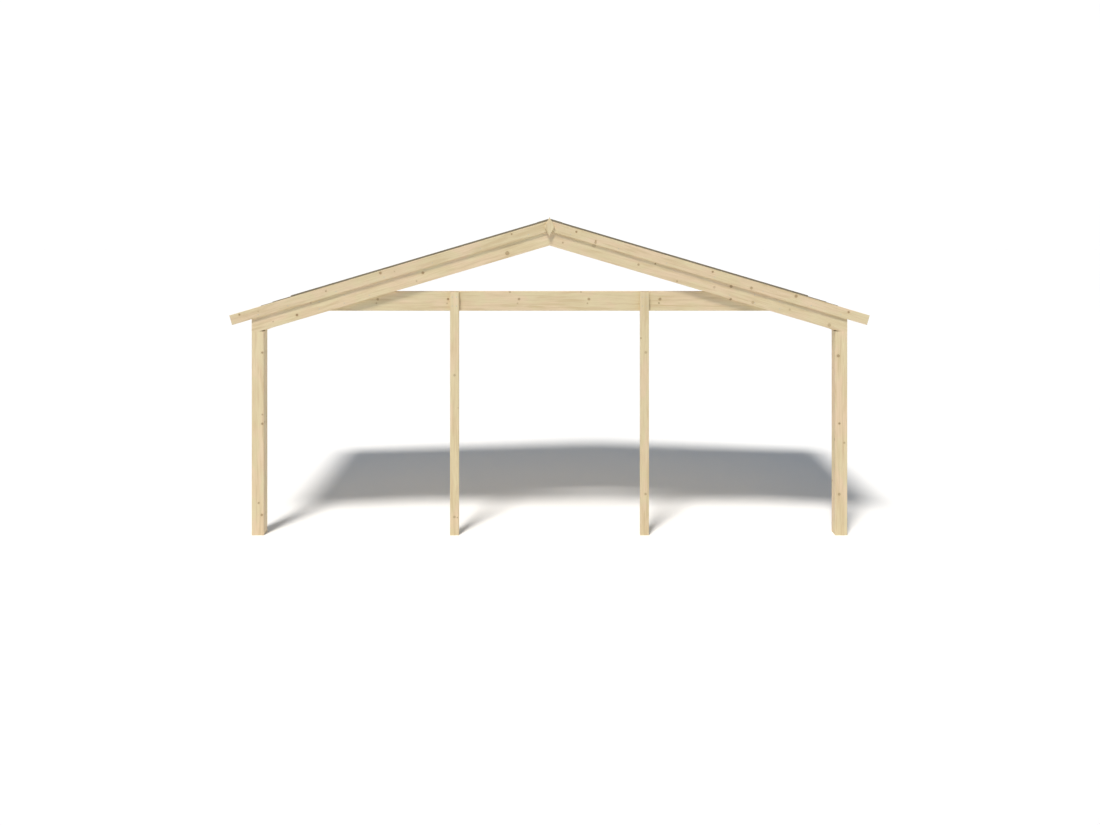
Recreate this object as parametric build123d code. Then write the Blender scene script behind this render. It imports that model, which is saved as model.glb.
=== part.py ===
from build123d import *

import math
import os

# A gabled timber patio cover that is fixed to a house wall.
# X runs along the wall, Y out of the wall's plane with the front at -Y, and Z is up.
# The origin is on the back face of the wall rafters, at the middle of their ridge joint.
# Heights are worked out above the ground first, and each piece is moved down at the end.

# The whole cover
slope_deg = 16.5
width_over_posts = 5950.0
roof_depth = 2150.0
ridge_underside = 2895.0
origin_height = 2970.0

# Posts
outer_post = 120.0
outer_post_height = 2037.5
inner_post = 88.0
inner_post_centre = 950.0
arris = 2.5

# Inner posts, rafters and tie beam, all from boards of one thickness
board = 44.0
rafter_depth = 190.0
tie_beam_depth = 195.0
tie_beam_top = 2433.0
tie_beam_half = 2560.0
tie_beam_clear = 6.0

# Purlins
purlin_width = 60.0
purlin_depth = 140.0
cog_depth = 40.0
purlins_a_side = 2

# Roof boards, felt and its laths
deck = 19.0
deck_boards = 18
v_joint_width = 7.0
v_joint_depth = 3.0
felt = 3.0
felt_turn_down = 34.0
felt_turn_up = 19.0
lath_width = 40.0
roll_height = 19.0
wall_lath_height = 20.0
lath_round = 5.0
front_lath = 980.0
middle_lath = 1400.0
ridge_felt_reach = 150.0
eave_board = 19.0
eave_board_depth = 70.0

# Barge boards and the diamond at their joint
barge = 18.0
barge_depth = 100.0
barge_top_at_ridge = 3144.5
barge_length = 3316.0
diamond = 20.0
diamond_width = 104.0
diamond_height = 192.0
diamond_top = 3179.0
diamond_chamfer = 4.0

rise = math.tan(math.radians(slope_deg))
sin_slope = math.sin(math.radians(slope_deg))
cos_slope = math.cos(math.radians(slope_deg))
front = -roof_depth
post_face = width_over_posts / 2
ridge_top = ridge_underside + rafter_depth / cos_slope
barge_rise = (barge_top_at_ridge - ridge_top) * cos_slope
eave_purlin_centre = post_face - outer_post + purlin_width / 2
down_the_slope = Axis((0, 0, 0), (cos_slope, 0, -sin_slope))
felt_level = deck + felt


def underside(x):
    """Height of the rafters' lower edge at a distance x from the ridge."""
    return ridge_underside - x * rise


def rafter_top(x):
    """Height of the rafters' upper edge at a distance x from the ridge."""
    return ridge_top - x * rise


def on_slope(along, up):
    """A point of the right-hand slope: along it from the ridge, and square up from the rafters."""
    return along * cos_slope + up * sin_slope, ridge_top - along * sin_slope + up * cos_slope


def prism(outline, y_from, y_to):
    """A solid with an outline in X and Z that runs along Y."""
    points = [Vector(x, y_from, z) for x, z in outline]
    face = make_face(Polyline(*points, close=True))
    return extrude(face, amount=y_to - y_from, dir=(0, 1, 0))


def block(x_from, x_to, y_from, y_to, z_from, z_to):
    """A solid with square sides between two corners."""
    outline = [(x_from, z_from), (x_to, z_from), (x_to, z_to), (x_from, z_to)]
    return prism(outline, y_from, y_to)


def layer(low, high, along_to, y_from, y_to):
    """A layer of the right-hand slope, cut plumb at the ridge and square at the eave."""
    ridge_low = (0.0, ridge_top + low / cos_slope)
    ridge_high = (0.0, ridge_top + high / cos_slope)
    outline = [ridge_low, on_slope(along_to, low), on_slope(along_to, high), ridge_high]
    return prism(outline, y_from, y_to)


def strip(low, high, along_from, along_to, y_from, y_to):
    """A strip of the right-hand slope that is cut square at both ends."""
    outline = [on_slope(along_from, low), on_slope(along_to, low),
               on_slope(along_to, high), on_slope(along_from, high)]
    return prism(outline, y_from, y_to)


def ease(solid, axis):
    """Takes the sharp arris off the long edges that run along an axis."""
    return chamfer(solid.edges().filter_by(axis), arris)


def ease_below(solid, axis):
    """Takes the sharp arris off the two lowest edges that run along an axis."""
    return chamfer(solid.edges().filter_by(axis).sort_by(Axis.Z)[:2], arris)


def ease_front(solid, size):
    """Takes the sharp arris off all round a piece's front face."""
    return chamfer(solid.faces().sort_by(Axis.Y)[0].edges(), size)


def other_side(solid):
    """The same piece on the left-hand side."""
    return mirror(solid, about=Plane.YZ)


def write(name, solid):
    """Moves a piece from ground level to the origin and writes its file."""
    export_step(Pos(0, 0, -origin_height) * solid, f"parts/{name}.step")


def write_pair(name, solid):
    """Writes a right-hand piece and its mirror image."""
    write(f"{name}_right", solid)
    write(f"{name}_left", other_side(solid))


# Where the purlins cross the rafters
purlin_step = eave_purlin_centre / (purlins_a_side + 1)
upper_centre = purlin_step
lower_centre = 2 * purlin_step


def cog_level(centre):
    """Height of the notch floor on which a purlin's end sits."""
    return rafter_top(centre) - cog_depth


def purlin_seat(centre, y_from, y_to):
    """The notch that a purlin's end fills in the top of a rafter."""
    half = purlin_width / 2
    return block(centre - half, centre + half, y_from, y_to, cog_level(centre), ridge_top)


def rafter_seats(y_from, y_to):
    """All the purlin notches of a right-hand rafter, with the ridge purlin's."""
    centres = [0.0, upper_centre, lower_centre, eave_purlin_centre]
    return [purlin_seat(centre, y_from, y_to) for centre in centres]


# Outer posts
def outer_post_piece():
    x_from = post_face - outer_post
    post = block(x_from, post_face, front, front + outer_post, 0.0, outer_post_height)
    return ease(post, Axis.Z)


# Inner posts, flat boards that stand against the front of the tie beam
def inner_post_piece():
    x_from = inner_post_centre - inner_post / 2
    x_to = inner_post_centre + inner_post / 2
    post = block(x_from, x_to, front, front + board, 0.0, tie_beam_top)
    return ease(post, Axis.Z)


# Tie beam behind the gable rafters, with its ends cut to the roof's slope
def tie_beam_blank():
    low = tie_beam_top - tie_beam_depth
    x_top = (ridge_top - tie_beam_clear - tie_beam_top) / rise
    z_end = rafter_top(tie_beam_half) - tie_beam_clear
    right = [(tie_beam_half, low), (tie_beam_half, z_end), (x_top, tie_beam_top)]
    left = [(-x, z) for x, z in reversed(right)]
    return prism(right + left, front + board, front + 2 * board)


def tie_beam_piece():
    return ease(tie_beam_blank(), Axis.X)


# Gable rafters with a level seat on the outer posts and a plumb joint at the ridge
def rafter_outline():
    seat = (ridge_underside - outer_post_height) / rise
    return [(0.0, ridge_underside), (seat, outer_post_height), (post_face, outer_post_height),
            (post_face, rafter_top(post_face)), (0.0, ridge_top)]


def gable_rafter_piece():
    rafter = ease_below(prism(rafter_outline(), front, front + board), down_the_slope)
    for seat in rafter_seats(front, front + board):
        rafter -= seat
    return rafter


# Wall rafters, halved across each other at the ridge
def wall_rafter_pieces():
    half_reach = (ridge_top - ridge_underside) / (2 * rise)
    middle = (ridge_top + ridge_underside) / 2
    lap = [(0.0, ridge_underside), (half_reach, middle), (0.0, ridge_top), (-half_reach, middle)]
    front_lap = prism(lap, -board, -board / 2)
    back_lap = prism(lap, -board / 2, 0.0)
    right = prism(rafter_outline(), -board, 0.0)
    left = other_side(right)
    right = right - back_lap + front_lap
    left = left - front_lap + back_lap
    for seat in rafter_seats(-board, 0.0):
        right -= seat
        left -= other_side(seat)
    return right, left


# Purlins, whose ends are stepped to sit in the rafters
def purlin_piece(centre, bottom):
    half = purlin_width / 2
    if centre == 0.0:
        top = [(half, rafter_top(half)), (0.0, ridge_top), (-half, rafter_top(half))]
    else:
        top = [(centre + half, rafter_top(centre + half)), (centre - half, rafter_top(centre - half))]
    outline = [(centre - half, bottom), (centre + half, bottom)] + top
    purlin = ease_below(prism(outline, front, 0.0), Axis.Y)
    level = cog_level(centre)
    purlin -= block(centre - half, centre + half, front, front + board, bottom, level)
    purlin -= block(centre - half, centre + half, -board, 0.0, bottom, level)
    return purlin


def lower_purlin_piece():
    """The lower purlin is also notched over the tie beam."""
    purlin = purlin_piece(lower_centre, rafter_top(lower_centre) - purlin_depth)
    return purlin - tie_beam_blank()


# Roof boards that run down the slope, with V joints on their underside
def roof_deck_piece():
    deck_end = barge_length - felt - eave_board
    roof = layer(0.0, deck, deck_end, front, 0.0)
    pitch = roof_depth / deck_boards
    for joint in range(1, deck_boards):
        y = front + joint * pitch
        start = on_slope(0.0, 0.0)
        section = [(-v_joint_width / 2, 0.0), (v_joint_width / 2, 0.0), (0.0, v_joint_depth)]
        plane = Plane(origin=(start[0], y, start[1]), x_dir=(0, 1, 0),
                      z_dir=(cos_slope, 0, -sin_slope))
        groove = extrude(plane * make_face(Polyline(*section, close=True)), amount=deck_end, both=True)
        roof -= groove
    return roof


# Laths under the felt, from the ridge down the slope: two for its rolls and one along the wall
def lath_lines():
    return [front + front_lath, front + middle_lath, -lath_width / 2]


def lath_piece(centre, grow, length):
    """A lath with rounded upper edges, or with grow the outside of the felt over it."""
    y_to = min(centre + lath_width / 2 + grow, 0.0)
    y_from = centre - lath_width / 2 - grow
    height = wall_lath_height if y_to == 0.0 else roll_height
    lath = layer(deck, deck + height + grow, length, y_from, y_to)
    upper = lath.edges().filter_by(down_the_slope).sort_by(Axis.Z)[-2:]
    if y_to == 0.0:
        upper = upper.sort_by(Axis.Y)[:1]
    return fillet(upper, lath_round + grow)


# Felt over the boards and laths, turned up behind the barge board and down over the eave
def roof_felt_piece():
    sheet = layer(deck, felt_level, barge_length, front, 0.0)
    sheet += layer(deck, deck + felt_turn_up, barge_length, front, front + felt)
    sheet += strip(felt_level - felt_turn_down, felt_level, barge_length - felt, barge_length,
                   front, 0.0)
    for centre in lath_lines():
        sheet += lath_piece(centre, felt, barge_length)
        sheet -= lath_piece(centre, 0.0, barge_length - felt)
    return sheet


# The ridge strip is dressed over the ends of the rolls
def ridge_felt_piece():
    cap = layer(felt_level, felt_level + felt, ridge_felt_reach, front + felt, 0.0)
    for centre in lath_lines():
        cap += lath_piece(centre, 2 * felt, ridge_felt_reach)
        cap -= lath_piece(centre, felt, barge_length)
    cap -= layer(deck, felt_level, ridge_felt_reach, front, 0.0)
    return cap + other_side(cap)


# Boards along the eaves and up the gable
def eave_board_piece():
    outside = barge_length - felt
    board_piece = strip(deck - eave_board_depth, deck, outside - eave_board, outside, front, 0.0)
    return ease_below(board_piece, Axis.Y)


def barge_board_piece():
    board_piece = layer(barge_rise - barge_depth, barge_rise, barge_length, front - barge, front)
    return ease_front(board_piece, arris)


def diamond_piece():
    middle = diamond_top - diamond_height / 2
    half = diamond_width / 2
    outline = [(0.0, diamond_top), (half, middle), (0.0, middle - diamond_height / 2), (-half, middle)]
    return ease_front(prism(outline, front - barge - diamond, front - barge), diamond_chamfer)


os.makedirs("parts", exist_ok=True)
write_pair("post_outer", outer_post_piece())
write_pair("post_inner", inner_post_piece())
write("tie_beam", tie_beam_piece())
write_pair("gable_rafter", gable_rafter_piece())
wall_right, wall_left = wall_rafter_pieces()
write("wall_rafter_right", wall_right)
write("wall_rafter_left", wall_left)
write("ridge_purlin", purlin_piece(0.0, ridge_top - purlin_depth))
write_pair("purlin_upper", purlin_piece(upper_centre, rafter_top(upper_centre) - purlin_depth))
write_pair("purlin_lower", lower_purlin_piece())
write_pair("eave_purlin", purlin_piece(eave_purlin_centre, outer_post_height))
write_pair("roof_deck", roof_deck_piece())
laths = [lath_piece(centre, 0.0, barge_length - felt).solid() for centre in lath_lines()]
write_pair("felt_laths", Compound(laths))
write_pair("roof_felt", roof_felt_piece())
write("ridge_felt", ridge_felt_piece())
write_pair("eave_board", eave_board_piece())
write_pair("barge_board", barge_board_piece())
write("ridge_diamond", diamond_piece())
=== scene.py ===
import math

import bpy
import numpy as np
from mathutils import Euler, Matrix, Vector


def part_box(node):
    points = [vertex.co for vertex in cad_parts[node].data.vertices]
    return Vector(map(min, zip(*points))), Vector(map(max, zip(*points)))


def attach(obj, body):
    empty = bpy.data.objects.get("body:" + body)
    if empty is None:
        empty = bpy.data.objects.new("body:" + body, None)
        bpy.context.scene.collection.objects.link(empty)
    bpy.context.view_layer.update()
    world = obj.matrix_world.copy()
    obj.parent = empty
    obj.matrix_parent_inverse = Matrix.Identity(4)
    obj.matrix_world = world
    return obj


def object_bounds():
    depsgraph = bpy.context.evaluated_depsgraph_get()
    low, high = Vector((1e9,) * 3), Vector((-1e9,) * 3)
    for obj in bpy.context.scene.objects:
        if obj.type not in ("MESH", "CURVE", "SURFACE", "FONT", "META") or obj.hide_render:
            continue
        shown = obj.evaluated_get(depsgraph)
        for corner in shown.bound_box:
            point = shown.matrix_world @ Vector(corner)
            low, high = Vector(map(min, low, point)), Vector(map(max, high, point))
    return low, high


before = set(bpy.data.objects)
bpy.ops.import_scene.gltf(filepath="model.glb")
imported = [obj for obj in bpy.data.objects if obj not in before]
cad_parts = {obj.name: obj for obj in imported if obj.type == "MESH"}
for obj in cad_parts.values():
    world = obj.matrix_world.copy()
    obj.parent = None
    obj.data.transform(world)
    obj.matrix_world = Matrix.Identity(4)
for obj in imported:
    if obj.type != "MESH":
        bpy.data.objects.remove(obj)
cad_low, cad_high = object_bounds()


# The place where the cover stands: a plain pale floor at the level of the post feet. It is
# white to the camera, keeps the soft shadow of the roof, and throws light up under the boards.
# From below it is clear, so that the underside of the roof can be looked at.
ground = cad_low.z
floor_half = 60.0
floor_bounce = (0.81, 0.81, 0.81, 1.0)
floor_seen = (0.835, 0.835, 0.835, 1.0)

floor_mesh = bpy.data.meshes.new("floor")
corners = np.array([(-1, -1), (1, -1), (1, 1), (-1, 1)]) * floor_half
floor_mesh.from_pydata([(x, y, ground) for x, y in corners], [], [(0, 1, 2, 3)])
floor = bpy.data.objects.new("floor", floor_mesh)
bpy.context.scene.collection.objects.link(floor)

floor_finish = bpy.data.materials.new("pale floor")
floor_finish.use_nodes = True
tree = floor_finish.node_tree
tree.nodes.clear()
ray = tree.nodes.new("ShaderNodeLightPath")
shade = tree.nodes.new("ShaderNodeMix")
shade.data_type = "RGBA"
shade.inputs[6].default_value = floor_bounce
shade.inputs[7].default_value = floor_seen
diffuse = tree.nodes.new("ShaderNodeBsdfDiffuse")
clear = tree.nodes.new("ShaderNodeBsdfTransparent")
side = tree.nodes.new("ShaderNodeNewGeometry")
above_or_below = tree.nodes.new("ShaderNodeMixShader")
output = tree.nodes.new("ShaderNodeOutputMaterial")
tree.links.new(ray.outputs["Is Camera Ray"], shade.inputs["Factor"])
tree.links.new(shade.outputs[2], diffuse.inputs["Color"])
tree.links.new(side.outputs["Backfacing"], above_or_below.inputs["Fac"])
tree.links.new(diffuse.outputs["BSDF"], above_or_below.inputs[1])
tree.links.new(clear.outputs["BSDF"], above_or_below.inputs[2])
tree.links.new(above_or_below.outputs["Shader"], output.inputs["Surface"])
floor_mesh.materials.append(floor_finish)


# Daylight: a pale, faintly blue sky, brighter towards the horizon and behind the cover, and one
# soft, faintly warm sun from the upper left in front. The sky is plain white where the camera, a
# gloss or a glass looks straight at it. A second sun in the same place lights the floor alone.
sky_at_horizon = 0.66
sky_overhead = 0.10
sky_behind = 0.20
sky_color = (0.87, 1.0, 1.17, 1.0)
sky_seen = (1.0, 1.0, 1.0, 1.0)
sky_seen_strength = 1.02
sun_color = (1.0, 0.961, 0.911)
sun_light = 2.72
floor_sun_light = 0.74
sun_width = math.radians(11.5)
sun_travel = Vector((0.20, 0.46, -1.0))

world = bpy.data.worlds.new("pale sky")
bpy.context.scene.world = world
world.use_nodes = True
tree = world.node_tree
tree.nodes.clear()
ray = tree.nodes.new("ShaderNodeLightPath")
camera_or_gloss = tree.nodes.new("ShaderNodeMath")
camera_or_gloss.operation = "MAXIMUM"
any_direct = tree.nodes.new("ShaderNodeMath")
any_direct.operation = "MAXIMUM"
look = tree.nodes.new("ShaderNodeTexCoord")
look_parts = tree.nodes.new("ShaderNodeSeparateXYZ")
by_height = tree.nodes.new("ShaderNodeMapRange")
by_height.inputs["To Min"].default_value = sky_at_horizon
by_height.inputs["To Max"].default_value = sky_overhead
by_side = tree.nodes.new("ShaderNodeMath")
by_side.operation = "MULTIPLY_ADD"
by_side.inputs[1].default_value = sky_behind
strength = tree.nodes.new("ShaderNodeMix")
strength.inputs[3].default_value = sky_seen_strength
tinge = tree.nodes.new("ShaderNodeMix")
tinge.data_type = "RGBA"
tinge.inputs[6].default_value = sky_color
tinge.inputs[7].default_value = sky_seen
sky = tree.nodes.new("ShaderNodeBackground")
output = tree.nodes.new("ShaderNodeOutputWorld")
tree.links.new(any_direct.outputs[0], tinge.inputs["Factor"])
tree.links.new(tinge.outputs[2], sky.inputs["Color"])
tree.links.new(look.outputs["Generated"], look_parts.inputs[0])
tree.links.new(look_parts.outputs[2], by_height.inputs["Value"])
tree.links.new(look_parts.outputs[1], by_side.inputs[0])
tree.links.new(by_height.outputs["Result"], by_side.inputs[2])
tree.links.new(by_side.outputs[0], strength.inputs[2])
tree.links.new(ray.outputs["Is Camera Ray"], camera_or_gloss.inputs[0])
tree.links.new(ray.outputs["Is Glossy Ray"], camera_or_gloss.inputs[1])
tree.links.new(camera_or_gloss.outputs[0], any_direct.inputs[0])
tree.links.new(ray.outputs["Is Transmission Ray"], any_direct.inputs[1])
tree.links.new(any_direct.outputs[0], strength.inputs["Factor"])
tree.links.new(strength.outputs[0], sky.inputs["Strength"])
tree.links.new(sky.outputs["Background"], output.inputs["Surface"])

floor_only = bpy.data.collections.new("floor only")
floor_only.objects.link(floor)
for name, light, lit in (("sun", sun_light, None), ("floor sun", floor_sun_light, floor_only)):
    sun_data = bpy.data.lights.new(name, "SUN")
    sun_data.color = sun_color
    sun_data.energy = light
    sun_data.angle = sun_width
    sun = bpy.data.objects.new(name, sun_data)
    sun.rotation_euler = sun_travel.to_track_quat("-Z", "Y").to_euler()
    bpy.context.scene.collection.objects.link(sun)
    sun.light_linking.receiver_collection = lit


# The camera: level, in line with the ridge and a little above it, nine metres in front of the
# posts. The lens is shifted down so that the whole cover shows with its uprights parallel.
photo_width = 1100
focal_pixels = 901.0
horizon_above_middle = 204.5
posts_right_of_middle = -0.5
camera_distance = 9.0
camera_height = 3.27
sensor_width = 36.0

camera_data = bpy.data.cameras.new("camera")
camera_data.sensor_width = sensor_width
camera_data.lens = focal_pixels / photo_width * sensor_width
camera_data.shift_x = -posts_right_of_middle / photo_width
camera_data.shift_y = -horizon_above_middle / photo_width
camera = bpy.data.objects.new("camera", camera_data)
posts_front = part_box("post_outer_left")[0].y
camera.location = (0.0, posts_front - camera_distance, ground + camera_height)
camera.rotation_euler = (math.radians(90), 0.0, 0.0)
bpy.context.scene.collection.objects.link(camera)
bpy.context.scene.camera = camera
bpy.context.scene.view_settings.view_transform = "Standard"


# The four posts: planed spruce with eased arrises, standing on the floor. The square outer pair
# carries the gable rafters, and the inner pair are boards on end against the tie beam's front.
def linear(red, green, blue):
    """A colour given as 0 to 255 on screen, as the light values that a shader takes."""
    screen = np.array([red, green, blue]) / 255
    light = np.where(screen <= 0.04045, screen / 12.92, ((screen + 0.055) / 1.055) ** 2.4)
    return (*light, 1.0)


class Group:
    """Builds a shader node group, or the node tree of a material, a node at a time."""

    def __init__(self, tree):
        self.tree = tree

    def add(self, kind, **settings):
        """Adds a node of a kind with its settings."""
        node = self.tree.nodes.new(kind)
        for name, value in settings.items():
            setattr(node, name, value)
        return node

    def feed(self, socket, source):
        """Links a socket to a source, or sets it to a value."""
        if isinstance(source, bpy.types.NodeSocket):
            self.tree.links.new(source, socket)
        else:
            socket.default_value = source

    def math(self, operation, a, b=0.0, c=0.0):
        """One arithmetic step."""
        node = self.add("ShaderNodeMath", operation=operation)
        for socket, source in zip(node.inputs, (a, b, c)):
            self.feed(socket, source)
        return node.outputs[0]

    def vector(self, operation, a, b=(0.0, 0.0, 0.0)):
        """One vector step."""
        node = self.add("ShaderNodeVectorMath", operation=operation)
        self.feed(node.inputs[0], a)
        self.feed(node.inputs[1], b)
        return node.outputs["Value" if operation in ("LENGTH", "DISTANCE") else "Vector"]

    def parts(self, vector):
        """The three parts of a vector."""
        node = self.add("ShaderNodeSeparateXYZ")
        self.feed(node.inputs[0], vector)
        return node.outputs[0], node.outputs[1], node.outputs[2]

    def join(self, x, y, z=0.0):
        """A vector from three parts."""
        node = self.add("ShaderNodeCombineXYZ")
        for socket, source in zip(node.inputs, (x, y, z)):
            self.feed(socket, source)
        return node.outputs[0]

    def smooth(self, value, low, high, to_low=0.0, to_high=1.0):
        """A smooth step of a value between two limits."""
        node = self.add("ShaderNodeMapRange", interpolation_type="SMOOTHSTEP")
        for name, source in (("Value", value), ("From Min", low), ("From Max", high),
                             ("To Min", to_low), ("To Max", to_high)):
            self.feed(node.inputs[name], source)
        return node.outputs["Result"]

    def noise(self, vector, scale, detail=2.0, roughness=0.5):
        """Soft noise from 0 to 1 over a vector."""
        node = self.add("ShaderNodeTexNoise")
        self.feed(node.inputs["Vector"], vector)
        self.feed(node.inputs["Scale"], scale)
        self.feed(node.inputs["Detail"], detail)
        self.feed(node.inputs["Roughness"], roughness)
        return node.outputs["Fac"]

    def chance(self, number):
        """Three numbers from 0 to 1 that a number draws, always the same for the same number."""
        node = self.add("ShaderNodeTexWhiteNoise", noise_dimensions="1D")
        self.feed(node.inputs["W"], number)
        return self.parts(node.outputs["Color"])

    def blend(self, share, a, b, how="MIX"):
        """One colour over another by a share."""
        node = self.add("ShaderNodeMix", data_type="RGBA", blend_type=how)
        self.feed(node.inputs["Factor"], share)
        self.feed(node.inputs[6], a)
        self.feed(node.inputs[7], b)
        return node.outputs[2]


def new_group(name, inputs, outputs):
    """An empty shader node group with named sockets, and its input and output nodes."""
    tree = bpy.data.node_groups.new(name, "ShaderNodeTree")
    for title, kind, value in inputs:
        socket = tree.interface.new_socket(title, in_out="INPUT", socket_type=kind)
        if value is not None:
            socket.default_value = value
    for title, kind in outputs:
        tree.interface.new_socket(title, in_out="OUTPUT", socket_type=kind)
    group = Group(tree)
    return group, group.add("NodeGroupInput"), group.add("NodeGroupOutput")


ring_width = 0.0035
no_knot = 9.0
knot_row = 0.1
knot_flatness = 1.25
bare_cells = 0.50
off_other_face = 3.7
end_grain = (0.60, 0.52, 0.42, 1.0)


def make_spruce():
    """Planed spruce. The first part of Vector runs along the grain, in metres, from the heart.

    Year rings are a saw-tooth of the distance from the heart, which wanders along the grain, so
    a face shows long arches and an end shows arcs. Knots come from two places: Knot Ratio is the
    distance from a listed knot over its radius, with Knot Depth for how dark it is, and
    others are scattered on each face. The rings swell where they pass one.
    """
    group, given, result = new_group(
        "planed spruce",
        [("Vector", "NodeSocketVector", None), ("Normal", "NodeSocketVector", None),
         ("Knot Spacing", "NodeSocketFloat", 0.42), ("Knot Size", "NodeSocketFloat", 0.011),
         ("Knot Ratio", "NodeSocketFloat", no_knot), ("Knot Depth", "NodeSocketFloat", 1.0),
         ("Scatter", "NodeSocketFloat", 1.0), ("Warmth", "NodeSocketFloat", 0.5),
         ("Paleness", "NodeSocketFloat", 1.0)],
        [("Color", "NodeSocketColor"), ("Roughness", "NodeSocketFloat"),
         ("Height", "NodeSocketFloat")])
    place = given.outputs["Vector"]
    along, y, z = group.parts(place)
    normal_x, normal_y, normal_z = group.parts(given.outputs["Normal"])
    end = group.smooth(group.math("ABSOLUTE", normal_x), 0.6, 0.8)

    def drawn_out(share_along, scale, detail, roughness, a=y, b=z):
        """Noise that is drawn out along the grain, where it changes at a share of the rate."""
        return group.noise(group.join(group.math("MULTIPLY", along, share_along), a, b),
                           scale, detail, roughness)

    # Scattered knots: one at most in each cell of a face, and some are larger and darker
    faces_z = group.math("GREATER_THAN", group.math("ABSOLUTE", normal_z),
                         group.math("ABSOLUTE", normal_y))
    off_z = group.math("SUBTRACT", 1.0, faces_z)
    across = group.math("ADD", group.math("MULTIPLY", y, faces_z),
                        group.math("MULTIPLY", group.math("ADD", z, off_other_face), off_z))
    across = group.math("ADD", across, group.math("SIGN", group.math("ADD", normal_y, normal_z)))
    knot_cell = group.join(group.math("DIVIDE", along, given.outputs["Knot Spacing"]),
                           group.math("MULTIPLY", across, 1 / knot_row))
    cells = group.add("ShaderNodeTexVoronoi", voronoi_dimensions="2D")
    cells.inputs["Scale"].default_value = 1.0
    group.feed(cells.inputs["Vector"], knot_cell)
    chance, size_share, darkness = group.parts(cells.outputs["Color"])
    cell_x, cell_y, _ = group.parts(group.vector("SUBTRACT", knot_cell, cells.outputs["Position"]))
    from_knot = group.vector("LENGTH", group.join(
        group.math("MULTIPLY", cell_x, given.outputs["Knot Spacing"]),
        group.math("MULTIPLY", cell_y, knot_row * knot_flatness)))
    radius = group.math("MULTIPLY", given.outputs["Knot Size"],
                        group.math("MULTIPLY_ADD", size_share, 1.1, 0.35))
    there = group.math("MULTIPLY", group.math("GREATER_THAN", chance, bare_cells),
                       given.outputs["Scatter"])
    there = group.math("MULTIPLY", there, group.math("SUBTRACT", 1.0, end))
    scattered = group.math("ADD", group.math("DIVIDE", from_knot, radius),
                           group.math("MULTIPLY", group.math("SUBTRACT", 1.0, there), no_knot))

    # The parts of the nearest knot, and how far it disturbs the wood around it
    ratio = group.math("MINIMUM", scattered, given.outputs["Knot Ratio"])
    wobble = group.noise(place, 90.0, 1.0)
    ratio = group.math("MULTIPLY", ratio, group.math("MULTIPLY_ADD", wobble, 0.5, 0.75))
    knot = group.smooth(ratio, 1.10, 0.85)
    rim = group.math("MULTIPLY", group.smooth(ratio, 1.22, 1.02), group.smooth(ratio, 0.62, 0.92))
    heart = group.smooth(ratio, 0.35, 0.1)
    halo = group.smooth(ratio, 2.6, 0.9)
    swell = group.smooth(ratio, 4.0, 0.6)
    knot_ring = group.smooth(group.math("FRACT", group.math("MULTIPLY", ratio, 3.0)), 0.3, 0.9)

    # Year rings, with the dark late wood at the outside of each
    wander = group.noise(group.join(along, 0.0), 0.55, 1.0)
    heart_y = group.math("MULTIPLY_ADD", wander, 0.05, y)
    heart_z = group.math("MULTIPLY_ADD", wander, -0.03, z)
    distance = group.vector("LENGTH", group.join(heart_y, heart_z))
    ripple = drawn_out(0.06, 28.0, 2.0, 0.5)
    ring = group.math("DIVIDE", distance, ring_width)
    ring = group.math("ADD", ring, group.math("MULTIPLY", ripple, 1.8))
    ring = group.math("ADD", ring, group.math("MULTIPLY", swell, 2.6))
    phase = group.math("FRACT", ring)
    late = group.math("MULTIPLY", group.smooth(phase, 0.25, 0.88), group.smooth(phase, 1.0, 0.92))

    # Tones from broad patches down to single fibres, then the knots over them
    patch = drawn_out(0.42, 7.5, 2.0, 0.6)
    tone = drawn_out(0.22, 14.0, 2.0, 0.5, z, y)
    streak = drawn_out(0.075, 34.0, 3.0, 0.6)
    thread = drawn_out(0.030, 130.0, 2.0, 0.55)
    fibre = drawn_out(0.020, 900.0, 2.0, 0.6)
    tint = group.math("ADD", group.smooth(patch, 0.40, 0.62),
                      group.math("SUBTRACT", given.outputs["Warmth"], 0.5))
    color = group.blend(tint, linear(233, 219, 180), linear(239, 216, 184))
    for share, darker in (
            (group.smooth(tone, 0.46, 0.66, 0.0, 0.30), linear(221, 203, 162)),
            (group.smooth(streak, 0.48, 0.68, 0.0, 0.65), linear(214, 192, 150)),
            (group.smooth(thread, 0.45, 0.72, 0.0, 0.38), linear(210, 182, 138)),
            (group.math("MULTIPLY", late, 0.30), linear(209, 180, 132)),
            (group.smooth(fibre, 0.40, 0.75, 0.0, 0.16), linear(204, 180, 140))):
        color = group.blend(share, color, darker)
    color = group.blend(1.0, color, group.join(*(given.outputs["Paleness"],) * 3), "MULTIPLY")
    by_hand = group.math("LESS_THAN", given.outputs["Knot Ratio"], scattered)
    own_depth = group.math("MULTIPLY_ADD", darkness, 0.55, 0.25)
    deep = group.math("MULTIPLY_ADD", by_hand,
                      group.math("SUBTRACT", given.outputs["Knot Depth"], own_depth), own_depth)
    inside = group.blend(knot_ring, linear(171, 141, 101), linear(150, 119, 83))
    for mask, share, shade_of_knot in ((halo, 0.40, linear(205, 178, 133)), (knot, 0.90, inside),
                                       (rim, 0.50, linear(112, 89, 61)),
                                       (heart, 0.45, linear(119, 92, 63))):
        over = group.math("MULTIPLY", group.math("MULTIPLY", mask, share), deep)
        color = group.blend(over, color, shade_of_knot)
    color = group.blend(end, color, end_grain, "MULTIPLY")

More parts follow.
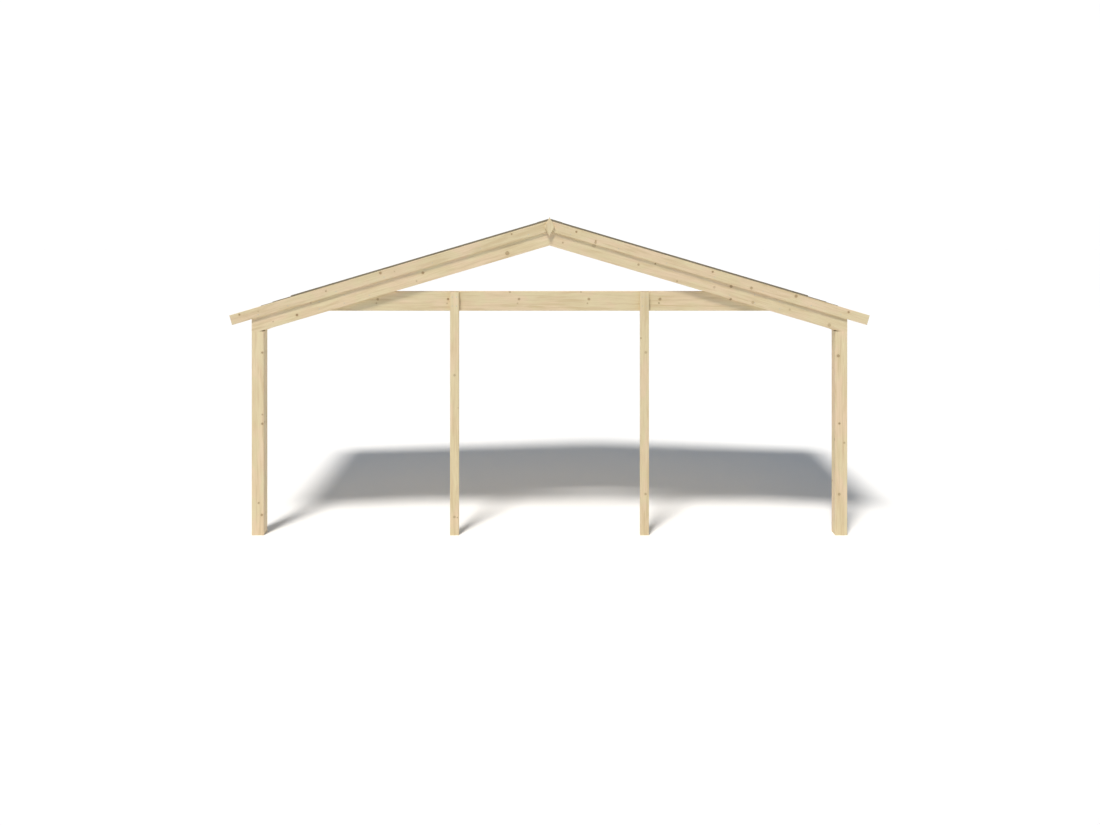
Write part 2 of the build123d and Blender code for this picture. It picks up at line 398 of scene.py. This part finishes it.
    rough = group.math("MULTIPLY_ADD", late, -0.08, 0.62)
    rough = group.math("MULTIPLY_ADD", knot, -0.10, rough)
    rough = group.math("MULTIPLY_ADD", end, 0.15, rough)
    height = group.math("MULTIPLY_ADD", late, 0.6, group.math("MULTIPLY", fibre, 0.5))
    height = group.math("MULTIPLY_ADD", knot, 0.5, height)
    group.feed(result.inputs["Color"], color)
    group.feed(result.inputs["Roughness"], rough)
    group.feed(result.inputs["Height"], height)
    return group.tree


spruce = make_spruce()
draw = np.random.default_rng(31)
along_z = (0.0, math.radians(90), 0.0)
millimetre = 0.001
front_facing = -0.5
grain_relief = 0.0004
spruce_gloss = 0.3


def knots_through(group, place, knots):
    """How far a point is from the nearest of a piece's knots, as a share of its radius, and how
    dark that knot is from 0 to 1.

    A knot is a round branch that goes straight through the piece from front to back, given by
    its place along X and Z in metres, its width in millimetres and its darkness.
    """
    x, _, z = group.parts(place)
    flat = group.join(x, 0.0, z)
    nearest, depth = no_knot, 0.0
    for knot_x, knot_z, width, dark in knots:
        away = group.vector("DISTANCE", flat, (knot_x, 0.0, knot_z))
        ratio = group.math("DIVIDE", away, width * millimetre / 2)
        nearer = group.math("LESS_THAN", ratio, nearest)
        nearest = group.math("MINIMUM", ratio, nearest)
        depth = group.math("MULTIPLY_ADD", nearer, group.math("SUBTRACT", dark, depth), depth)
    return nearest, depth


def side_by_side(group, place, grained, color, box, boards, number, warmth, paleness):
    """Splits a piece into boards that lie side by side along Y.

    Each board has a place in a log, a warmth and a paleness of its own, drawn from its number,
    and painted shade darkens the V where two boards meet, with a near-black line of painted
    shadow in the gap where the tongues go into the grooves. All four are given back.
    """
    low, high = box
    depth = high.y - low.y
    _, y, _ = group.parts(place)
    count = group.math("MULTIPLY", group.math("SUBTRACT", y, low.y), boards / depth)
    board = group.math("FLOOR", count)
    from_middle = group.math("ABSOLUTE", group.math("SUBTRACT", group.math("FRACT", count), 0.5))
    # Painted shade darkens the V where two boards meet, and a near-black painted shadow marks the
    # gap at its middle.
    color = group.blend(group.smooth(from_middle, 0.474, 0.498, 0.0, 0.40), color,
                        linear(150, 122, 84))
    color = group.blend(group.smooth(from_middle, 0.4915, 0.4945, 0.0, 0.85), color,
                        linear(52, 38, 24))
    first, second, third = group.chance(group.math("ADD", board, number))
    to_middle = group.math("MULTIPLY_ADD", board, -depth / boards, (depth - depth / boards) / 2)
    shift = group.join(group.math("MULTIPLY", first, 30.0),
                       group.math("MULTIPLY_ADD", second, 0.08, to_middle),
                       group.math("MULTIPLY", third, 0.05))
    return (group.vector("ADD", grained, shift),
            group.math("MULTIPLY_ADD", third, 0.9, warmth - 0.45),
            group.math("MULTIPLY_ADD", second, 0.14, paleness - 0.08), color)


def timber(name, grain, warmth=0.5, knot_spacing=0.42, knot_size=0.011, paleness=1.0, knots=(),
           boards=None):
    """Gives a node planed spruce whose grain runs as the turn says, from its own place in a log.

    A piece with knots of its own has no scattered ones on its front. With boards, it is that
    many boards side by side.
    """
    low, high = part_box(name)
    turned = Euler(grain).to_matrix() @ ((low + high) / 2)
    heart = Vector((draw.uniform(0, 40), draw.uniform(-0.03, 0.03), draw.uniform(0.03, 0.09)))
    material = bpy.data.materials.new(f"spruce {name}")
    material.use_nodes = True
    group = Group(material.node_tree)
    principled = material.node_tree.nodes["Principled BSDF"]
    place = group.add("ShaderNodeTexCoord")
    turn = group.add("ShaderNodeMapping", vector_type="POINT")
    turn.inputs["Rotation"].default_value = grain
    turn.inputs["Location"].default_value = heart - turned
    turn_normal = group.add("ShaderNodeMapping", vector_type="VECTOR")
    turn_normal.inputs["Rotation"].default_value = grain
    group.feed(turn.inputs["Vector"], place.outputs["Object"])
    group.feed(turn_normal.inputs["Vector"], place.outputs["Normal"])
    wood = group.add("ShaderNodeGroup", node_tree=spruce)
    grained, color = turn.outputs["Vector"], wood.outputs["Color"]
    if boards:
        grained, warmth, paleness, color = side_by_side(
            group, place.outputs["Object"], grained, color, (low, high), boards, heart.x,
            warmth, paleness)
    for title, source in (("Vector", grained), ("Normal", turn_normal.outputs["Vector"]),
                          ("Knot Spacing", knot_spacing), ("Knot Size", knot_size),
                          ("Warmth", warmth), ("Paleness", paleness)):
        group.feed(wood.inputs[title], source)
    if knots:
        _, facing, _ = group.parts(place.outputs["Normal"])
        nearest, depth = knots_through(group, place.outputs["Object"], knots)
        group.feed(wood.inputs["Scatter"], group.math("GREATER_THAN", facing, front_facing))
        group.feed(wood.inputs["Knot Ratio"], nearest)
        group.feed(wood.inputs["Knot Depth"], depth)
    bump = group.add("ShaderNodeBump")
    bump.inputs["Distance"].default_value = grain_relief
    bump.inputs["Strength"].default_value = 0.6
    group.feed(bump.inputs["Height"], wood.outputs["Height"])
    group.feed(principled.inputs["Base Color"], color)
    group.feed(principled.inputs["Roughness"], wood.outputs["Roughness"])
    group.feed(principled.inputs["Normal"], bump.outputs["Normal"])
    principled.inputs["Specular IOR Level"].default_value = spruce_gloss
    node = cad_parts[name]
    node.data.materials.clear()
    node.data.materials.append(material)


timber("post_outer_left", along_z, warmth=0.45, knot_spacing=0.35, knots=(
    (-2.869, -1.145, 20, 0.76), (-2.868, -1.764, 16, 0.54), (-2.870, -1.855, 20, 0.8),
    (-2.905, -2.646, 18, 0.64), (-2.874, -2.766, 22, 0.74)))
timber("post_outer_right", along_z, warmth=0.50, knot_spacing=0.35, paleness=0.98, knots=(
    (2.884, -1.176, 28, 0.66), (2.896, -1.853, 18, 1.0), (2.944, -2.045, 18, 0.5),
    (2.894, -2.559, 24, 0.58)))
timber("post_inner_left", along_z, warmth=0.30, knot_spacing=0.35, paleness=0.985, knots=(
    (-0.949, -1.370, 22, 0.45), (-0.912, -1.698, 12, 0.3), (-0.950, -2.787, 22, 0.5),
    (-0.920, -2.792, 12, 0.53)))
timber("post_inner_right", along_z, warmth=0.30, knot_spacing=0.35, paleness=0.94, knots=(
    (0.914, -0.999, 12, 0.74), (0.962, -1.142, 22, 0.42), (0.960, -2.557, 20, 0.51)))


# The tie beam: one deep board on edge behind the gable rafters, with its ends cut to the slope.
# Its knots come in pairs at every whorl of branches, as they do in one length of spruce.
along_x = (0.0, 0.0, 0.0)
timber("tie_beam", along_x, warmth=0.35, knot_spacing=0.5, paleness=0.945, knots=(
    (-1.725, -0.616, 22, 0.65), (-1.738, -0.656, 16, 0.44), (-1.019, -0.615, 20, 1.0),
    (-1.029, -0.657, 12, 0.51), (-0.306, -0.615, 22, 0.73), (-0.321, -0.657, 14, 0.37),
    (0.396, -0.615, 24, 0.73), (0.381, -0.657, 14, 0.51), (1.109, -0.615, 26, 0.81),
    (1.099, -0.654, 16, 0.68), (1.817, -0.615, 22, 0.7), (-0.397, -0.543, 18, 0.56),
    (0.316, -0.543, 14, 0.49)))


# Rafters: two at the gable and two at the wall, cut from spruce boards of one thickness. The
# gable pair meets at a plumb joint, and the wall pair is halved across the ridge.
slope = math.radians(16.5)
down_right = (0.0, -slope, 0.0)
down_left = (0.0, slope, 0.0)
timber("gable_rafter_left", down_left, warmth=0.50, paleness=0.97, knots=(
    (-2.523, -0.769, 22, 1.0), (-2.761, -0.835, 12, 0.52), (-2.385, -0.650, 14, 0.32),
    (-1.265, -0.348, 24, 0.88), (-1.328, -0.430, 14, 0.44), (-0.421, -0.151, 36, 0.64)))
timber("gable_rafter_right", down_right, warmth=0.55, paleness=0.95, knots=(
    (0.133, -0.046, 16, 0.63), (0.889, -0.266, 20, 0.66), (1.057, -0.257, 14, 0.84),
    (1.646, -0.491, 22, 0.34), (1.814, -0.483, 26, 0.8), (1.810, -0.611, 22, 0.82),
    (2.032, -0.643, 24, 0.45), (2.399, -0.715, 18, 0.37), (2.795, -0.869, 30, 0.4),
    (1.274, -0.431, 14, 0.68), (0.446, -0.074, 36, 0.3)))
timber("wall_rafter_left", down_left, warmth=0.60)
timber("wall_rafter_right", down_right, warmth=0.50)


# Purlins: seven spruce joists that run from the gable to the wall under the roof boards. Their
# ends are stepped into notches in the rafters.
along_y = (0.0, 0.0, math.radians(-90))
for name in ("ridge_purlin", "purlin_upper_left", "purlin_upper_right", "purlin_lower_left",
             "purlin_lower_right", "eave_purlin_left", "eave_purlin_right"):
    timber(name, along_y)


# Roof boards of spruce, tongued and grooved, which run down the slope with a V joint below. The
# laths that lift the felt into its rolls run the same way above them.
deck_boards = 18
for side, grain in (("right", down_right), ("left", down_left)):
    timber(f"roof_deck_{side}", grain, boards=deck_boards)
    timber(f"felt_laths_{side}", grain)


# Barge boards up the gable, the diamond over their joint, and the boards along the eaves: planed
# spruce, fixed to the face of the rafters and to the lower ends of the roof boards.
timber("barge_board_left", down_left, warmth=0.45, paleness=0.935, knots=(
    (-1.686, -0.347, 24, 0.8), (-1.547, -0.332, 12, 0.41), (-2.229, -0.528, 16, 0.65),
    (-2.905, -0.731, 10, 0.55), (-3.092, -0.764, 18, 0.85), (-0.377, 0.039, 16, 0.77)))
timber("barge_board_right", down_right, warmth=0.50, paleness=0.955, knots=(
    (0.268, 0.063, 18, 1.0), (0.461, -0.029, 16, 0.8), (0.459, -0.046, 20, 0.6),
    (1.627, -0.336, 18, 1.0), (2.013, -0.497, 24, 0.63), (2.458, -0.578, 28, 0.78),
    (2.982, -0.738, 20, 0.91)))
for side in ("left", "right"):
    timber(f"eave_board_{side}", along_y)
timber("ridge_diamond", along_z, warmth=0.5, knot_size=0.006, paleness=0.935)


# Screws: zinc-plated and countersunk, driven flush through the barge boards into the rafters,
# through the rafters into the tie beam, and through the inner posts into the tie beam. A head
# is a flat disc with a rounded rim and a recess in the form of a six-pointed star.
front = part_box("gable_rafter_left")[0].y
ridge_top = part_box("ridge_purlin")[1].z
to_the_wall = (0, 1, 0)
bpy.context.view_layer.update()


def landings(node, starts, way):
    """Where lines that go one way from their starts first meet a node, and how it faces there."""
    met = [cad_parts[node].ray_cast(start, way)[:3] for start in starts]
    return [(spot, facing) for hit, spot, facing in met if hit]


def even_turns(turns):
    """The angles that split a ring evenly into a number of turns."""
    return np.linspace(0, 2 * np.pi, turns, endpoint=False)


def rings_of(turns, *radii):
    """Rings around an axis, each with one radius for all its turns or with one for each turn."""
    return np.stack([np.broadcast_to(radius, turns) for radius in radii])


def studs(name, spots, reach, height, finish):
    """One mesh with a screw or nail head at each spot.

    A head is rings of points around the spot's axis, from the middle to the rim. Reach is the
    distance from the axis for each ring and each turn that it is split into, and height is each
    ring's distance off the surface. A point is spot + reach (side cos turn + up sin turn)
    + height facing, and the middle of the first and the last ring closes the front and the back.
    """
    rings, turns = reach.shape
    turn = even_turns(turns)
    height = np.array(height)[None, :, None, None]
    askew = (0.17, 0.31, 0.94)
    spot = np.array([place for place, _ in spots])[:, None, None, :]
    facing = np.array([normal for _, normal in spots])[:, None, None, :]
    side = np.cross(facing, askew)
    side = side / np.linalg.norm(side, axis=-1, keepdims=True)
    up = np.cross(facing, side)
    across = (side * (reach * np.cos(turn))[None, :, :, None]
              + up * (reach * np.sin(turn))[None, :, :, None])
    points = (spot + across + facing * height).reshape(len(spots), -1, 3)
    front_middle = (spot + facing * height[:, :1]).reshape(-1, 1, 3)
    back_middle = (spot + facing * height[:, -1:]).reshape(-1, 1, 3)
    points = np.concatenate([points, front_middle, back_middle], axis=1)

    here = np.arange(turns)
    after = (here + 1) % turns
    ring = (np.arange(rings - 1) * turns)[:, None]
    quads = np.stack([ring + here, ring + turns + here, ring + turns + after, ring + after], -1)
    last = (rings - 1) * turns
    caps = np.concatenate([
        np.stack([np.full(turns, rings * turns), here, after], -1),
        np.stack([np.full(turns, rings * turns + 1), last + after, last + here], -1)])
    start = (np.arange(len(spots)) * points.shape[1])[:, None, None]
    faces = ((quads.reshape(1, -1, 4) + start).reshape(-1, 4).tolist()
             + (caps[None] + start).reshape(-1, 3).tolist())
    mesh = bpy.data.meshes.new(name)
    mesh.from_pydata(points.reshape(-1, 3).tolist(), [], faces)
    mesh.materials.append(finish)
    piece = bpy.data.objects.new(name, mesh)
    bpy.context.scene.collection.objects.link(piece)
    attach(piece, "root")


def plated(name, light, dark, rough):
    """Plated steel with a spangle a few millimetres wide and a little dullness between."""
    material = bpy.data.materials.new(name)
    material.use_nodes = True
    group = Group(material.node_tree)
    principled = material.node_tree.nodes["Principled BSDF"]
    place = group.add("ShaderNodeTexCoord")
    spangle = group.noise(place.outputs["Object"], 450.0, 2.0, 0.6)
    group.feed(principled.inputs["Base Color"],
               group.blend(group.smooth(spangle, 0.35, 0.65), light, dark))
    group.feed(principled.inputs["Roughness"],
               group.math("MULTIPLY_ADD", spangle, 0.25, rough - 0.12))
    principled.inputs["Metallic"].default_value = 1.0
    return material


head_turns = 36
screw_head = 0.0045
star_edge = 0.0018
star_points = 6
star_wave = 0.20
star = star_edge * (1 + star_wave * np.cos(star_points * even_turns(head_turns)))
screw_reach = rings_of(head_turns, 0.45 * star, 0.92 * star, star, 0.0030, 0.0041, screw_head,
                       0.96 * screw_head)
screw_height = (-0.0014, -0.0013, 0.0005, 0.0006, 0.0005, 0.0001, -0.0006)
barge_screws_along = (0.22, 0.72, 1.22, 1.72, 2.22, 2.72, 3.03)
barge_screw_below = 0.024
beam_screws = ((1.80, -0.570), (2.05, -0.570), (2.05, -0.650), (2.30, -0.635), (2.30, -0.708))
post_screws = ((-0.022, -0.590), (0.022, -0.590), (-0.022, -0.680), (0.022, -0.680))
inner_post_centre = 0.95
before = front - 1.0

zinc = plated("zinc-plated steel", linear(206, 206, 200), linear(172, 172, 168), 0.38)
spots = []
for side, sign in (("left", -1), ("right", 1)):
    on_barge = [(sign * along * math.cos(slope), before,
                 ridge_top - along * math.sin(slope) - barge_screw_below)
                for along in barge_screws_along]
    on_rafter = [(sign * x, before, z) for x, z in beam_screws]
    on_post = [(sign * inner_post_centre + x, before, z) for x, z in post_screws]
    spots += landings(f"barge_board_{side}", on_barge, to_the_wall)
    spots += landings(f"gable_rafter_{side}", on_rafter, to_the_wall)
    spots += landings(f"post_inner_{side}", on_post, to_the_wall)
studs("countersunk_screws", spots, screw_reach, screw_height, zinc)


# Coach screws with washers, which hold the wall rafters to the wall. Their heads are zinc-plated
# steel with six flats, and stand on the front of the rafters.
half_flats = 0.0085
washer = 0.0150
sixth = math.radians(60)
flats = half_flats / np.cos((even_turns(head_turns) + sixth / 2) % sixth - sixth / 2)
coach_reach = rings_of(head_turns, 0.55 * flats, 0.90 * flats, flats, flats, 0.0125, washer,
                       washer)
coach_height = (0.0098, 0.0096, 0.0088, 0.0026, 0.0025, 0.0022, -0.0004)
coach_screws_at = (0.16, 0.48, 1.44, 2.40, 2.70)
rafter_middle_below = 0.099
before_wall_rafters = -0.5

spots = []
for side, sign in (("left", -1), ("right", 1)):
    on_rafter = [(sign * x, before_wall_rafters,
                  ridge_top - x * math.tan(slope) - rafter_middle_below) for x in coach_screws_at]
    spots += landings(f"wall_rafter_{side}", on_rafter, to_the_wall)
studs("coach_screws", spots, coach_reach, coach_height, zinc)


# Roofing felt with a mineral face, over the boards and laths. The grit is ground slate in brown
# and grey, thicker in some places than in others, and rain has drawn faint runs down the slope.
grit_relief = 0.0008
run_length = 10.0
felt_roughness = 0.95
felt_gloss = 0.2

felt_finish = bpy.data.materials.new("mineral felt")
felt_finish.use_nodes = True
group = Group(felt_finish.node_tree)
principled = felt_finish.node_tree.nodes["Principled BSDF"]
place = group.add("ShaderNodeTexCoord").outputs["Object"]
x, y, z = group.parts(place)
down_the_slope = group.join(group.math("MULTIPLY", x, 1 / run_length), y,
                            group.math("MULTIPLY", z, 1 / run_length))
grit = group.noise(place, 900.0, 2.0, 0.7)
clump = group.noise(place, 160.0, 2.0, 0.6)
cloud = group.noise(place, 5.0, 4.0, 0.6)
runs = group.noise(down_the_slope, 22.0, 3.0, 0.6)
color = group.blend(group.smooth(grit, 0.35, 0.7), linear(100, 90, 72), linear(162, 149, 121))
for share, tone in ((group.smooth(clump, 0.40, 0.70, 0.0, 0.45), linear(104, 98, 84)),
                    (group.smooth(cloud, 0.38, 0.66, 0.0, 0.40), linear(150, 142, 122)),
                    (group.smooth(runs, 0.48, 0.72, 0.0, 0.35), linear(98, 90, 74))):
    color = group.blend(share, color, tone)
group.feed(principled.inputs["Base Color"], color)
bump = group.add("ShaderNodeBump")
bump.inputs["Distance"].default_value = grit_relief
bump.inputs["Strength"].default_value = 0.8
group.feed(bump.inputs["Height"], group.math("ADD", grit, clump))
group.feed(principled.inputs["Normal"], bump.outputs["Normal"])
principled.inputs["Roughness"].default_value = felt_roughness
principled.inputs["Specular IOR Level"].default_value = felt_gloss
for name in ("roof_felt_left", "roof_felt_right", "ridge_felt"):
    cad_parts[name].data.materials.clear()
    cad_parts[name].data.materials.append(felt_finish)


# Clout nails with wide flat heads, of galvanised steel, every hundred millimetres along the
# ridge strip, where they keep clear of the rolls, and where the felt turns down over the eaves.
nail_turns = 14
nail_head = 0.0050
nail_reach = rings_of(nail_turns, 0.45 * nail_head, 0.92 * nail_head, nail_head,
                      0.98 * nail_head)
nail_height = (0.0011, 0.0009, 0.0005, -0.0005)
nail_gap = 0.1
strip_nails_along = 0.135
above_roof = 1.0
beyond_eave = 3.45
eave_nails_up = -0.004
rolls_at = np.array([-1.17, -0.75, -0.02])
clear_of_roll = 0.034
straight_down = (0, 0, -1)

galvanised = plated("galvanised steel", linear(168, 170, 168), linear(132, 134, 134), 0.52)
rows = np.arange(front + nail_gap / 2, -nail_gap / 3, nail_gap)
off_rolls = rows[np.abs(rows[:, None] - rolls_at).min(axis=1) > clear_of_roll]
strip_x = strip_nails_along * math.cos(slope)
eave_x = beyond_eave * math.cos(slope) + eave_nails_up * math.sin(slope)
eave_z = ridge_top - beyond_eave * math.sin(slope) + eave_nails_up * math.cos(slope)
spots = []
for side, sign in (("left", -1), ("right", 1)):
    up_the_slope = (-sign * math.cos(slope), 0, math.sin(slope))
    on_strip = [(sign * strip_x, float(y), above_roof) for y in off_rolls]
    on_eave = [(sign * eave_x, float(y), eave_z) for y in rows]
    spots += landings("ridge_felt", on_strip, straight_down)
    spots += landings(f"roof_felt_{side}", on_eave, up_the_slope)
studs("clout_nails", spots, nail_reach, nail_height, galvanised)
